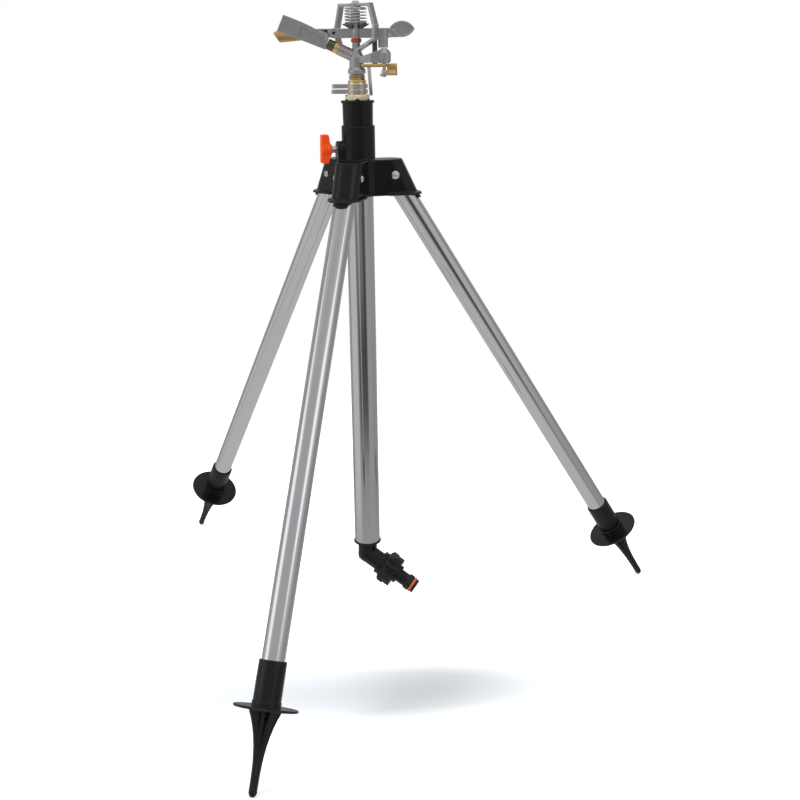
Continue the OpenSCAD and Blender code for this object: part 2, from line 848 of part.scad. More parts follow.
// Upper edge of the duct, from its far end back to its near end
function duct_top_edge() =
    let (near = duct_start + 0.6)
    [for (i = [0:8]) [duct_end + (near - duct_end) * i / 8, duct_top + duct_bow * sin(22.5 * i)]];

module arm_duct() {
    along_jet() difference() {
        upright(-duct_half_w, duct_half_w)
            polygon(concat([[duct_start - 0.6, -5.4], [duct_end, -8.2]], duct_top_edge()));
        // channel for the jet
        translate([duct_start - 5, duct_wall - duct_half_w, -20])
            cube([duct_end, 2 * (duct_half_w - duct_wall), 20 + duct_top - duct_wall]);
        // sunk panel in each side
        for (side = [-1, 1])
            translate([0, side * (duct_half_w + 1), 0]) upright(-2.2, 2.2)
                polygon([[duct_start - 6, -12], [53, -12], [54, 4.1], [duct_start - 6, 4.1]]);
    }
}

module arm_web() {
    difference() {
        upright(-arm_half_t, arm_half_t) polygon([
            [28.5, arm_low], [28.5, arm_high], [-37, arm_high], [-36, 58.5], [-23.2, 53.3], [-20, arm_low]
        ]);
        upright(-arm_half_t - 1, arm_half_t - 1.2) polygon([[-25, 59.3], [-30, 59.3], [-24.6, 56.6]]);
    }
}

module counterweight() {
    translate([weight_x, 0, weight_z]) dished_oval(weight_half[0], weight_half[1], 5.2);
    upright(-arm_half_t, arm_half_t) polygon([[27, arm_low], [27, 60], [33, 60], [38, arm_low + 0.4]]);
}

// Pointed oval made of two crossing arcs, dished on both faces
module dished_oval(half_x, half_z, thick) {
    arc_r = (half_x * half_x + half_z * half_z) / (2 * half_z);
    difference() {
        upright(-thick / 2, thick / 2) lens(arc_r, half_z);
        for (side = [0, 1]) mirror([0, side, 0])
            upright(-thick / 2 - 1, 1 - thick / 2) lens(arc_r - 1.8, half_z - 1.8);
    }
}

module lens(arc_r, half_z) {
    intersection() {
        translate([0, arc_r - half_z]) circle(r = arc_r, $fn = 96);
        translate([0, half_z - arc_r]) circle(r = arc_r, $fn = 96);
    }
}

module impact_arm() {
    color(zinc) on_head() difference() {
        union() {
            arm_web();
            translate([0, 0, arm_low - 0.6]) cylinder(r = arm_hub_r, h = arm_hub_top - arm_low + 0.6);
            translate([eye_x, 0, eye_z]) rotate([90, 0, 0]) cylinder(r = 4.3, h = 6.4, center = true);
            arm_duct();
            counterweight();
            translate([arm_post[0], arm_post[1], 44.2]) cylinder(r = arm_post_r, h = arm_high - 44.2);
        }
        translate([0, 0, 40]) cylinder(r = pin_r + running_gap, h = 60);
        translate([eye_x, 2.2, eye_z]) rotate([90, 0, 0]) cylinder(r = 1.5, h = 12);
    }
}

// Vane that throws the jet aside, with a cheek riveted inside the near wall of the duct
module deflector() {
    cheek_y = duct_wall - duct_half_w + 0.02;
    far_y = duct_half_w - duct_wall - 0.02;
    color([0.86, 0.66, 0.30]) on_head() along_jet() {
        upright(cheek_y, cheek_y + 1.4)
            polygon([[47, -5.6], [65.6, -16.3], [74, -11.4], [71.4, -7.6], [71.4, 2], [49, 2]]);
        translate([0, 0, -9]) linear_extrude(12)
            polygon([
                [71.4, cheek_y + 0.6], [71.4, cheek_y + 2.4], [60, far_y],
                [58, far_y], [69.6, cheek_y + 0.6]
            ]);
    }
}

// Dished seat under the arm spring, slotted at the front
module spring_seat() {
    color([0.45, 0.45, 0.46]) on_head() difference() {
        union() {
            translate([0, 0, arm_high + 0.02]) cylinder(r1 = 6, r2 = 11.7, h = 3);
            translate([0, 0, arm_high + 3.02]) cylinder(r = 11.7, h = 0.8);
        }
        translate([0, 0, arm_high + 1.4]) cylinder(r1 = 5.2, r2 = 10.9, h = 3);
        translate([0, 0, arm_high - 1]) cylinder(r = arm_hub_r + press_gap, h = 10);
        translate([-3.3, -15, arm_high - 1]) cube([6.6, 15, 10]);
    }
}

module arm_spring() {
    color(steel) on_head()
        coil(arm_spring_turns, arm_spring_mean_r, arm_wire_r, arm_spring_z[0], arm_spring_z[1]);
}

// ---------- Trip mechanism ----------

module at_trip() {
    on_head() translate([trip_at[0], trip_at[1], 0]) children();
}

module trip_pin() {
    color(steel) at_trip() {
        translate([0, 0, 19.6]) cylinder(r = 1.5, h = 24);
        translate([0, 0, 43.02]) cylinder(r = 2.6, h = 0.8);
    }
}

module trip_plate() {
    color(brass) on_head() difference() {
        union() {
            translate([4, trip_bar_y[0], plate_z]) cube([21, trip_bar_y[1] - trip_bar_y[0], plate_h]);
            translate([trip_at[0], trip_at[1], plate_z]) cylinder(r = 3.2, h = plate_h);
            translate([24, trip_at[1] - 3.2, plate_z]) cube([11.3, 6.4, plate_h]);
            translate([26.6, trip_at[1] - 3.2, plate_z - 7]) cube([8.7, 6.4, 8]);
        }
        translate([trip_at[0], trip_at[1], 0]) cylinder(r = 1.5 + running_gap, h = 60);
        translate([28, trip_at[1] - 4, plate_z - 5.2]) cube([5.8, 2.6, 5.8]);
    }
}

module trip_finger() {
    color([0.66, 0.64, 0.61]) on_head() upright(trip_bar_y[0] + 0.2, trip_bar_y[1] + 0.3)
        polygon([
            [9, plate_z - 0.02], [12.2, plate_z - 0.02], [13.6, 5.4],
            [13, 4.2], [10.8, 4.2], [10.6, 5.4]
        ]);
}

module trip_pawl() {
    color([0.36, 0.36, 0.37]) on_head() {
        upright(0.6, 2.2)
            polygon([[14, plate_z - 0.02], [18.4, plate_z - 0.02], [18.4, 51], [15.6, 51], [14, 47]]);
        translate([14, trip_bar_y[1] + press_gap, plate_z]) cube([4.4, 0.6 - trip_bar_y[1], 2]);
    }
}

// Snap spring: a small coil round the pin with one leg hooked back
module trip_spring() {
    color(steel) at_trip() {
        translate([0, 0, 20.2]) tube(2.3, 1.5 + running_gap, 5.4);
        translate([-3.6, -0.5, 20.2]) cube([2, 1, 1]);
        translate([-3.6, -0.5, 20.2]) cube([1, 1, 2.6]);
    }
}

hub();
leg_rivets();
clamp_nut();
clamp_screw();
wing_knob();
leg_tube_front();
leg_tube_right();
leg_tube_left();
leg_plug_front();
leg_plug_right();
leg_plug_left();
foot_front();
foot_right();
foot_left();
column_tube();
column_cap();
cap_oring();
inlet_elbow();
elbow_oring();
inlet_washer();
hose_adaptor();
hose_oring();
nipple_washer();
bearing_nipple();
friction_collar_lower();
friction_collar_upper();
collar_ring();
bearing_sleeve();
bearing_seal();
bearing_spring();
sprinkler_body();
range_nozzle();
fulcrum_pin();
arm_washer();
impact_arm();
deflector();
spring_seat();
arm_spring();
trip_pin();
trip_plate();
trip_finger();
trip_pawl();
trip_spring();
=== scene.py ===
import json
import math

import bmesh
import bpy
import numpy as np
from mathutils import Matrix, Vector


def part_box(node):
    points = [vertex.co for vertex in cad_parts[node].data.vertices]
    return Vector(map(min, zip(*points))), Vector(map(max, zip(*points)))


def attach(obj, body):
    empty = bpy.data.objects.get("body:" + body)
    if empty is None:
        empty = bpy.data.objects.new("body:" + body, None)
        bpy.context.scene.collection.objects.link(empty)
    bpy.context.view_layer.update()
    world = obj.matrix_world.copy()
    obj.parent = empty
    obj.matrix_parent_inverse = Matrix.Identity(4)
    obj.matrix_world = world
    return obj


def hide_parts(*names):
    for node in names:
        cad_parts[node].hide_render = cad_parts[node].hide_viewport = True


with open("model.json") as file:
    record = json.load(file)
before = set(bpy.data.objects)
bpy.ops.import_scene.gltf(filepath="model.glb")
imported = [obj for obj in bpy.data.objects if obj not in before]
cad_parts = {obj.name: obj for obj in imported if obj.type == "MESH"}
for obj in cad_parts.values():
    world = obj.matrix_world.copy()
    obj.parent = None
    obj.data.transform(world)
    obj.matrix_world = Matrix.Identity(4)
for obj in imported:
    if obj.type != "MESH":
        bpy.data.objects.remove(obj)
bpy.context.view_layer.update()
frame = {"nodes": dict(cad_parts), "record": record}

MM = 0.001
BODY_OF = {
    node: body
    for body, members in frame["record"]["behaviour"]["bodies"].items()
    for node in members
}
SLOT_OF = {part["node"]: part["material_slot"] for part in frame["record"]["subparts"]}
MOUNTS = {mount["name"]: mount for mount in frame["record"]["mounts"]}

# The elbow's pipe and its straight arms, and the length of the nozzle's tip, which is brass painted
# dark as shade from the duct
ELBOW_RADIUS = 9.4 * MM
ELBOW_ARM = 12 * MM
NOZZLE_TIP = 5.2 * MM
# Height of the friction collars, as a share of their CAD nodes'
STRIP_HEIGHT = 0.86
# The cap's flange: how far it stands out, how thick it is, and the hole in it
CAP_LIP = 1.15 * MM
CAP_DRAFT = 0.3 * MM
CAP_FLANGE = 2.2 * MM
CAP_BORE = 10.5 * MM
# Rounding of the edges of the tubes and the cap
TUBE_EDGE = 0.25 * MM
CAP_EDGE = 0.3 * MM

# ---------- Camera ----------

# The camera stands at this compass bearing from the column, in degrees from +X
CAMERA_BEARING = -72.08
CAMERA_DISTANCE = 0.9861
CAMERA_HEIGHT = 0.5448
# How far its view turns right of the column, down, and round its own axis
LOOK_RIGHT = 2.01
LOOK_DOWN = 17.86
ROLL = -0.69
LENS = 48.0


def unit(bearing, rise=0.0):
    """A direction at a compass bearing and an angle above the horizontal, in degrees."""
    b, r = math.radians(bearing), math.radians(rise)
    return Vector((math.cos(b) * math.cos(r), math.sin(b) * math.cos(r), math.sin(r)))


def add_camera():
    data = bpy.data.cameras.new("camera")
    data.lens = LENS
    data.sensor_width = 36.0
    data.clip_start = 0.05
    camera = bpy.data.objects.new("camera", data)
    bpy.context.scene.collection.objects.link(camera)
    forward = unit(CAMERA_BEARING + 180 - LOOK_RIGHT, -LOOK_DOWN)
    right = forward.cross(Vector((0, 0, 1))).normalized()
    up = right.cross(forward)
    r = math.radians(ROLL)
    right, up = right * math.cos(r) + up * math.sin(r), up * math.cos(r) - right * math.sin(r)
    turn = Matrix((right, up, -forward)).transposed().to_4x4()
    place = unit(CAMERA_BEARING) * CAMERA_DISTANCE + Vector((0, 0, CAMERA_HEIGHT))
    camera.matrix_world = Matrix.Translation(place) @ turn
    bpy.context.scene.camera = camera


# ---------- Materials ----------


class Tree:
    """A node tree of a material or the world, with short calls that add nodes to it."""

    def __init__(self, owner):
        owner.use_nodes = True
        self.nodes = owner.node_tree.nodes
        self.links = owner.node_tree.links
        self.nodes.clear()

    def add(self, kind, inputs=(), **settings):
        node = self.nodes.new(kind)
        for key, value in settings.items():
            setattr(node, key, value)
        for key, value in dict(inputs).items():
            if isinstance(value, bpy.types.NodeSocket):
                self.links.new(value, node.inputs[key])
            else:
                node.inputs[key].default_value = value
        return node

    def remap(self, value, low, high, from_low=0.25, from_high=0.75, ease="LINEAR"):
        return self.add(
            "ShaderNodeMapRange",
            {
                "Value": value,
                "From Min": from_low,
                "From Max": from_high,
                "To Min": low,
                "To Max": high,
            },
            interpolation_type=ease,
        ).outputs["Result"]

    def math(self, operation, a, b=0.0):
        return self.add("ShaderNodeMath", {0: a, 1: b}, operation=operation).outputs[0]

    def mix(self, factor, a, b):
        """Between two colours, each a tuple or a socket."""
        node = self.add("ShaderNodeMix", data_type="RGBA")
        for index, value in ((0, factor), (6, a), (7, b)):
            if isinstance(value, bpy.types.NodeSocket):
                self.links.new(value, node.inputs[index])
            elif index:
                node.inputs[index].default_value = (*value, 1.0)
            else:
                node.inputs[index].default_value = value
        return node.outputs[2]

    def band(self, value, low, high, soft):
        """1 while value is between low and high, with soft sides."""
        rise = self.remap(value, 0, 1, low - soft, low + soft, "SMOOTHSTEP")
        fall = self.remap(value, 1, 0, high - soft, high + soft, "SMOOTHSTEP")
        return self.math("MULTIPLY", rise, fall)


class Shader(Tree):
    """A material with a Principled BSDF."""

    def __init__(self, name):
        self.material = bpy.data.materials.new(name)
        super().__init__(self.material)
        self.output = self.nodes.new("ShaderNodeOutputMaterial")
        self.bsdf = self.nodes.new("ShaderNodeBsdfPrincipled")
        self.links.new(self.bsdf.outputs["BSDF"], self.output.inputs["Surface"])

    def coords(self, scale, kind="Object"):
        place = self.add("ShaderNodeTexCoord")
        return self.add(
            "ShaderNodeMapping", {"Vector": place.outputs[kind], "Scale": scale}
        ).outputs["Vector"]

    def noise(self, scale, detail=3.0, roughness=0.55, kind="Object", stretch=(1, 1, 1)):
        """Noise from 0 to 1, with scale in cycles per metre."""
        spread = tuple(scale * s for s in stretch)
        return self.add(
            "ShaderNodeTexNoise",
            {
                "Vector": self.coords(spread, kind),
                "Scale": 1.0,
                "Detail": detail,
                "Roughness": roughness,
            },
        ).outputs["Fac"]

    def bump(self, height, distance, normal=None):
        inputs = {"Height": height, "Distance": distance, "Strength": 1.0}
        if normal is not None:
            inputs["Normal"] = normal
        return self.add("ShaderNodeBump", inputs).outputs["Normal"]

    def edges(self, low=0.505, high=0.56):
        """1 on outer edges and 0 elsewhere, from the shape's pointiness."""
        shape = self.add("ShaderNodeNewGeometry")
        return self.remap(shape.outputs["Pointiness"], 0.0, 1.0, low, high)

    def set(self, **values):
        """Sets or links sockets of the BSDF, with _ for each space in their names."""
        for key, value in values.items():
            socket = self.bsdf.inputs[key.replace("_", " ")]
            if isinstance(value, bpy.types.NodeSocket):
                self.links.new(value, socket)
            else:
                socket.default_value = value
        return self

    def scaled(self, colour, factor):
        return tuple(min(1.0, c * factor) for c in colour)


def moulded_plastic(name, colour, rough, shine=0.25):
    """Moulded plastic: a fine orange peel, cloudy gloss and lighter, rubbed edges."""
    s = Shader(name)
    cloud = s.noise(45, 4)
    peel = s.noise(1400, 2)
    base = s.mix(s.remap(cloud, 0, 1), s.scaled(colour, 0.86), s.scaled(colour, 1.14))
    rubbed = tuple(c * 1.2 + 0.006 for c in colour)
    s.set(
        Base_Color=s.mix(s.edges(), base, rubbed),
        Roughness=s.remap(s.noise(120, 5), rough - 0.07, rough + 0.07),
        Normal=s.bump(peel, 0.03 * MM),
        Specular_IOR_Level=shine,
    )
    return s.material


def drawn_tube(name, colour, rough):
    """Anodised tube: fine drawing lines along its length, in the piece's own UVs."""
    s = Shader(name)
    lines = s.noise(1.0, 3, kind="UV", stretch=(2600, 9, 1))
    fine = s.noise(1.0, 2, kind="UV", stretch=(7000, 30, 1))
    cloud = s.noise(14, 3)
    base = s.mix(s.remap(cloud, 0, 1), s.scaled(colour, 0.95), s.scaled(colour, 1.02))
    s.set(
        Base_Color=s.mix(s.remap(lines, 0, 0.5), base, s.scaled(colour, 0.76)),
        Metallic=1.0,
        Roughness=s.remap(lines, rough - 0.04, rough + 0.05),
        Normal=s.bump(fine, 0.0012 * MM, s.bump(lines, 0.006 * MM)),
    )
    return s.material


def cast_metal(name, colour, rough):
    """Die-cast zinc: a soft grain, slightly mottled, with painted shade in recesses and lighter edges
    that are partly rubbed wear, partly painted highlight.
    """
    s = Shader(name)
    grain = s.noise(2600, 4, 0.6)
    skin = s.noise(260, 5, 0.6)
    base = s.mix(s.remap(skin, 0, 1), s.scaled(colour, 0.9), s.scaled(colour, 1.08))
    # painted shade: the base colour darkens in recesses, by ambient occlusion
    ao_for_painted_shade = s.add("ShaderNodeAmbientOcclusion", {"Distance": 4 * MM}, samples=6).outputs["AO"]
    base = s.mix(s.remap(ao_for_painted_shade, 0, 1, 0.3, 0.85), s.scaled(colour, 0.3), base)
    s.set(
        # lighter edges: partly rubbed wear, partly painted highlight
        Base_Color=s.mix(s.edges(0.503, 0.54), base, s.scaled(colour, 1.6)),
        Metallic=1.0,
        Roughness=s.remap(skin, rough - 0.06, rough + 0.08),
        Normal=s.bump(grain, 0.012 * MM, s.bump(skin, 0.02 * MM)),
    )
    return s.material


def worked_metal(name, colour, rough, tarnish=None, marks=1.0):
    """Turned or stamped metal: fine machining marks and a little tarnish in patches."""
    s = Shader(name)
    rings = s.noise(1.0, 2, stretch=(300, 300, 9000))
    patch = s.noise(180, 4, 0.6)
    dull = s.scaled(colour, 0.72) if tarnish is None else tarnish
    s.set(
        Base_Color=s.mix(s.remap(patch, 0, 0.7, 0.45, 0.8), colour, dull),
        Metallic=1.0,
        Roughness=s.remap(patch, rough - 0.05, rough + 0.12),
        Normal=s.bump(rings, 0.004 * MM * marks),
    )
    return s.material


def soft_rubber(name, colour, rough=0.6):
    """Rubber: matt, with a faint bloom."""
    s = Shader(name)
    bloom = s.noise(300, 4)
    s.set(
        Base_Color=s.mix(s.remap(bloom, 0, 1), s.scaled(colour, 0.85), s.scaled(colour, 1.2)),
        Roughness=s.remap(bloom, rough - 0.05, rough + 0.1),
        Normal=s.bump(s.noise(3000, 2), 0.01 * MM),
    )
    return s.material


def make_materials():
    return {
        "black_plastic": moulded_plastic("black_plastic", (0.004, 0.0041, 0.0044), 0.25, 0.36),
        "tube_aluminium": drawn_tube("tube_aluminium", (0.80, 0.81, 0.83), 0.13),
        "knob_plastic": moulded_plastic("knob_plastic", (1.0, 0.085, 0.008), 0.36),
        "plated_steel": worked_metal("plated_steel", (0.78, 0.78, 0.77), 0.28),
        "zinc_casting": cast_metal("zinc_casting", (0.53, 0.53, 0.535), 0.38),
        "brass": worked_metal("brass", (1.0, 0.71, 0.32), 0.24, (0.86, 0.56, 0.22)),
        # lighter brass for the bearing nipple: a painted highlight on its hex
        "brass_painted_highlight": worked_metal("brass_painted_highlight", (1.0, 0.87, 0.58), 0.2),
        "nickel_strip": worked_metal("nickel_strip", (0.72, 0.68, 0.64), 0.22, marks=0.05),
        "stainless": worked_metal("stainless", (0.74, 0.73, 0.71), 0.26),
        "bronzed_wire": worked_metal("bronzed_wire", (0.62, 0.47, 0.28), 0.3),
        # brass painted dark for the nozzle's tip: painted shade from the duct
        "nozzle_tip_painted_shade": worked_metal("nozzle_tip_painted_shade", (0.20, 0.165, 0.14), 0.4),
        "dark_steel": worked_metal("dark_steel", (0.14, 0.14, 0.145), 0.38),
        "grey_metal": worked_metal("grey_metal", (0.30, 0.29, 0.28), 0.36),
        "black_rubber": soft_rubber("black_rubber", (0.010, 0.010, 0.010)),
        "orange_rubber": soft_rubber("orange_rubber", (0.50, 0.10, 0.02), 0.5),
        "red_washer": soft_rubber("red_washer", (0.40, 0.035, 0.02), 0.5),
        "seal_plastic": soft_rubber("seal_plastic", (0.72, 0.72, 0.68), 0.45),
    }


# ---------- Meshes ----------

# Angles in degrees: between faces that count as one flat face, and at an edge that is bevelled
FLAT_WITHIN = 0.6
BEVEL_FROM = 32
# Angle above which an edge of a turned piece or a wire stays sharp
SHARP_ABOVE = 50

def put(mesh, name, node, look=None):
    """Makes mesh the piece that stands for a CAD node, in its own material or another look."""
    piece = bpy.data.objects.new(name, mesh)
    bpy.context.scene.collection.objects.link(piece)
    mesh.materials.clear()
    mesh.materials.append(MATERIALS[look or SLOT_OF[node]])
    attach(piece, BODY_OF[node])
    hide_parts(node)
    return piece


def welded(node):
    """A copy of a CAD node's mesh with its split vertices joined and its flat faces whole."""
    mesh = frame["nodes"][node].data.copy()
    shape = bmesh.new()
    shape.from_mesh(mesh)
    bmesh.ops.remove_doubles(shape, verts=shape.verts, dist=2e-6)
    shape.to_mesh(mesh)
    shape.free()
    mesh.update()
    return mesh


def applied(mesh, add_modifiers):
    """mesh with modifiers applied to it."""
    holder = bpy.data.objects.new("holder", mesh)
    bpy.context.scene.collection.objects.link(holder)
    add_modifiers(holder)
    graph = bpy.context.evaluated_depsgraph_get()
    result = bpy.data.meshes.new_from_object(holder.evaluated_get(graph))
    bpy.data.objects.remove(holder)
    return result


def smooth(mesh, sharp=None):
    """mesh shaded smooth, apart from edges sharper than an angle in degrees."""
    for polygon in mesh.polygons:
        polygon.use_smooth = True
    if sharp:
        mesh.set_sharp_from_angle(angle=math.radians(sharp))
    return mesh


def rounded(node, voxel, rounds, keep=1.0, extra=None):
    """A CAD node with every edge and corner softened, as on a moulding or a casting."""
    mesh = welded(node) if extra is None else joined(welded(node), extra)

    def modifiers(holder):
        remesh = holder.modifiers.new("remesh", "REMESH")
        remesh.mode = "VOXEL"
        remesh.voxel_size = voxel * MM
        soft = holder.modifiers.new("soften", "SMOOTH")
        soft.factor = 0.5
        soft.iterations = rounds
        if keep < 1:
            lean = holder.modifiers.new("lean", "DECIMATE")
            lean.ratio = keep

    return smooth(applied(mesh, modifiers))


def bevelled(node, width):
    """A CAD node with a small bevel on its sharp edges, as on a stamping or a turned part."""
    mesh = welded(node)
    shape = bmesh.new()
    shape.from_mesh(mesh)
    bmesh.ops.dissolve_limit(
        shape, angle_limit=math.radians(FLAT_WITHIN), verts=shape.verts, edges=shape.edges
    )
    shape.to_mesh(mesh)
    shape.free()

    def modifiers(holder):
        bevel = holder.modifiers.new("bevel", "BEVEL")
        bevel.width = width * MM
        bevel.segments = 2
        bevel.limit_method = "ANGLE"
        bevel.angle_limit = math.radians(BEVEL_FROM)
        bevel.use_clamp_overlap = True
        bevel.harden_normals = False

    return smooth(applied(mesh, modifiers), BEVEL_FROM + 3)


def softened(profile, radius, steps=4):
    """A closed profile with its corners as arcs, and a point beside each arc that holds it."""
    points, count, hold = [], len(profile), 1.35
    for i, corner in enumerate(profile):
        here = Vector(corner)
        back, on = Vector(profile[i - 1]) - here, Vector(profile[(i + 1) % count]) - here
        # an arc takes at most this share of the shorter side beside it
        r = min(radius, 0.45 * back.length, 0.45 * on.length)
        back.normalize()
        on.normalize()
        points.append(here + back * r * hold)
        for step in range(steps + 1):
            t = step / steps
            points.append(here + back * r * (1 - t) ** 2 + on * r * t**2)
        points.append(here + on * r * hold)
    return points


def turned(profile, origin, axis, radius, sides=128):
    """A ring-shaped solid from (radius, height) points, with UVs in metres round and along it."""
    points = softened(profile, radius)
    axis = Vector(axis).normalized()
    side = axis.orthogonal().normalized()
    other = axis.cross(side)
    rows = len(points)
    ring = [
        side * math.cos(2 * math.pi * k / sides) + other * math.sin(2 * math.pi * k / sides)
        for k in range(sides)
    ]
    verts = [Vector(origin) + axis * h + spoke * r for r, h in points for spoke in ring]
    along = [0.0]
    for a, b in zip(points, points[1:] + points[:1]):
        along.append(along[-1] + (Vector(b) - Vector(a)).length)
    widest = max(r for r, _ in points)
    faces, uvs = [], []
    for i in range(rows):
        j = (i + 1) % rows
        for k in range(sides):
            m = (k + 1) % sides
            faces.append((i * sides + k, i * sides + m, j * sides + m, j * sides + k))
            u0, u1 = (2 * math.pi * widest * t / sides for t in (k, k + 1))
            uvs += [(u0, along[i]), (u1, along[i]), (u1, along[i + 1]), (u0, along[i + 1])]
    mesh = bpy.data.meshes.new("turned")
    mesh.from_pydata(verts, [], faces)
    layer = mesh.uv_layers.new(name="UVMap")
    layer.data.foreach_set("uv", [c for uv in uvs for c in uv])
    return facing_out(mesh)


def facing_out(mesh):
    """mesh with its doubled points joined and its faces turned outwards."""
    shape = bmesh.new()
    shape.from_mesh(mesh)
    bmesh.ops.remove_doubles(shape, verts=shape.verts, dist=1e-7)
    bmesh.ops.recalc_face_normals(shape, faces=shape.faces)
    shape.to_mesh(mesh)
    shape.free()
    return smooth(mesh, SHARP_ABOVE)


def swept(path, radius, sides=12):
    """A round wire or pipe along a list of points, mitred at each, with domed ends."""
    path = [Vector(p) for p in path]
    tangents = [
        (path[min(i + 1, len(path) - 1)] - path[max(i - 1, 0)]).normalized()
        for i in range(len(path))
    ]
    side = tangents[0].orthogonal().normalized()
    dome = 0.6 * radius
    rings = []

    def ring(centre, tangent, r, bend=None):
        other = tangent.cross(side)
        spokes = [
            (side * math.cos(a) + other * math.sin(a)) * r
            for a in (2 * math.pi * k / sides for k in range(sides))
        ]
        if bend is not None:
            spokes = [v + bend * v.dot(bend.normalized()) for v in spokes]
        rings.append([centre + v for v in spokes])

    for i, (point, tangent) in enumerate(zip(path, tangents)):
        side = (side - tangent * side.dot(tangent)).normalized()
        if i == 0:
            ring(point - tangent * dome, tangent, dome)
        bend = None
        if 0 < i < len(path) - 1:
            onward = (path[i + 1] - point).normalized()
            turn = onward - tangent * onward.dot(tangent)
            bend = turn.normalized() * (1 / onward.dot(tangent) - 1) if turn.length > 0 else None
        ring(point, tangent, radius, bend)
        if i == len(path) - 1:
            ring(point + tangent * dome, tangent, dome)
    verts = [v for r in rings for v in r]
    faces = [
        (i * sides + k, i * sides + m, (i + 1) * sides + m, (i + 1) * sides + k)
        for i in range(len(rings) - 1)
        for k, m in ((k, (k + 1) % sides) for k in range(sides))
    ]
    faces += [tuple(range(sides)), tuple((len(rings) - 1) * sides + k for k in range(sides))]
    mesh = bpy.data.meshes.new("wire")
    mesh.from_pydata(verts, [], faces)
    return facing_out(mesh)


def joined(*meshes):
    """Several meshes as one."""
    shape = bmesh.new()
    for mesh in meshes:
        shape.from_mesh(mesh)
    result = bpy.data.meshes.new("joined")
    shape.to_mesh(result)
    shape.free()
    return smooth(result, SHARP_ABOVE)


def tube_axis(node):
    """(bottom centre, unit vector up the tube, length, outer radius, inner radius) of a CAD tube."""
    points = np.array([v.co for v in frame["nodes"][node].data.vertices], float)
    points = np.unique(np.round(points, 6), axis=0)
    centre = points.mean(0)
    direction = np.linalg.svd(points - centre, full_matrices=False)[2][0]
    direction *= np.sign(direction[2])
    heights = (points - centre) @ direction
    away = np.linalg.norm(points - centre - np.outer(heights, direction), axis=1)
    bottom = Vector(centre + direction * heights.min())
    return bottom, Vector(direction), heights.max() - heights.min(), away.max(), away.min()


# ---------- Pieces ----------


def build_tubes():
    for node in ("column_tube", "leg_tube_front", "leg_tube_right", "leg_tube_left"):
        bottom, up, length, outer, inner = tube_axis(node)
        profile = [(inner, 0), (outer, 0), (outer, length), (inner, length)]
        mesh = turned(profile, bottom, up, TUBE_EDGE)
        put(mesh, node + "_drawn", node)


def elbow_corner():
    """The elbow's two straight arms, which meet in a sharp mitre."""
    inlet = Vector(MOUNTS["hose_inlet"]["axis"]).normalized()
    nose = Vector(MOUNTS["hose_inlet"]["pos_m"])
    # where the inlet's axis crosses the column's
    corner = nose - inlet * nose.xy.length / inlet.xy.length
    path = (corner + Vector((0, 0, ELBOW_ARM)), corner, corner + inlet * ELBOW_ARM)
    return swept(path, ELBOW_RADIUS, sides=96)


def lathed_cap():
    """The column's cap, whose skirt comes down to the neck of the hub."""
    low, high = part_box("column_cap")
    tube_r = tube_axis("column_tube")[3]
    neck_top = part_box("hub")[1].z
    column_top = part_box("column_tube")[1].z
    flange_r = (high.x - low.x) / 2
    foot_r = flange_r - CAP_LIP - CAP_DRAFT
    under_flange = high.z - CAP_FLANGE
    profile = [
        (tube_r, neck_top),
        (foot_r, neck_top),
        (foot_r + CAP_DRAFT, under_flange),
        (flange_r, under_flange),
        (flange_r, high.z),
        (CAP_BORE, high.z),
        (CAP_BORE, column_top),
        (tube_r, column_top),
    ]
    middle_line = ((low.x + high.x) / 2, (low.y + high.y) / 2, 0)
    return turned(profile, middle_line, (0, 0, 1), CAP_EDGE)


def build_mouldings():
    put(rounded("hub", 0.5, 4, 0.55), "hub_moulding", "hub")
    put(rounded("wing_knob", 0.3, 8, 0.6), "wing_knob_moulding", "wing_knob")
    for side in ("front", "right", "left"):
        put(rounded("foot_" + side, 0.32, 3, 0.4), f"foot_{side}_moulding", "foot_" + side)
    put(lathed_cap(), "column_cap_moulding", "column_cap")
    elbow = rounded("inlet_elbow", 0.3, 3, 0.5, elbow_corner())
    put(elbow, "inlet_elbow_moulding", "inlet_elbow")
    put(bevelled("hose_adaptor", 0.45), "hose_adaptor_moulding", "hose_adaptor")


def build_castings():
    put(rounded("sprinkler_body", 0.22, 5, 0.35), "sprinkler_body_casting", "sprinkler_body")
    put(rounded("impact_arm", 0.22, 5, 0.35), "impact_arm_casting", "impact_arm")


# Width of the worn edge on each small metal piece, in mm
EDGES = {
    "leg_rivets": 0.25,
    "clamp_screw": 0.3,
    "bearing_nipple": 0.3,
    "collar_ring": 0.25,
    "fulcrum_pin": 0.2,
    "arm_washer": 0.25,
    "deflector": 0.25,
    "spring_seat": 0.15,
    "trip_pin": 0.2,
    "trip_plate": 0.35,
    "trip_finger": 0.3,
    "trip_pawl": 0.25,
    "trip_spring": 0.2,
}


def build_small_metal():
    for node, width in EDGES.items():
        # the nipple takes the lighter brass, a painted highlight
        look = "brass_painted_highlight" if node == "bearing_nipple" else None
        put(bevelled(node, width), node + "_finished", node, look)
    for node in ("friction_collar_lower", "friction_collar_upper"):
        strip = rounded(node, 0.18, 3, 0.5)
        # a little lower than its CAD node, so that light shows between the two
        strip.transform(scaled_about(middle(node), (1, 1, STRIP_HEIGHT)))
        put(strip, node + "_strip", node)


def build_nozzle():
    """A brass ring by the barrel, and the tip that the jet leaves by, its brass painted darker as the
    duct's shade.
    """
    start, jet, length, _, _ = tube_axis("range_nozzle")
    piece = put(bevelled("range_nozzle", 0.25), "range_nozzle_finished", "range_nozzle")
    # the tip takes the darker brass, a painted shade
    piece.data.materials.append(MATERIALS["nozzle_tip_painted_shade"])
    for face in piece.data.polygons:
        if (face.center - start).dot(jet) > length - NOZZLE_TIP:
            face.material_index = 1


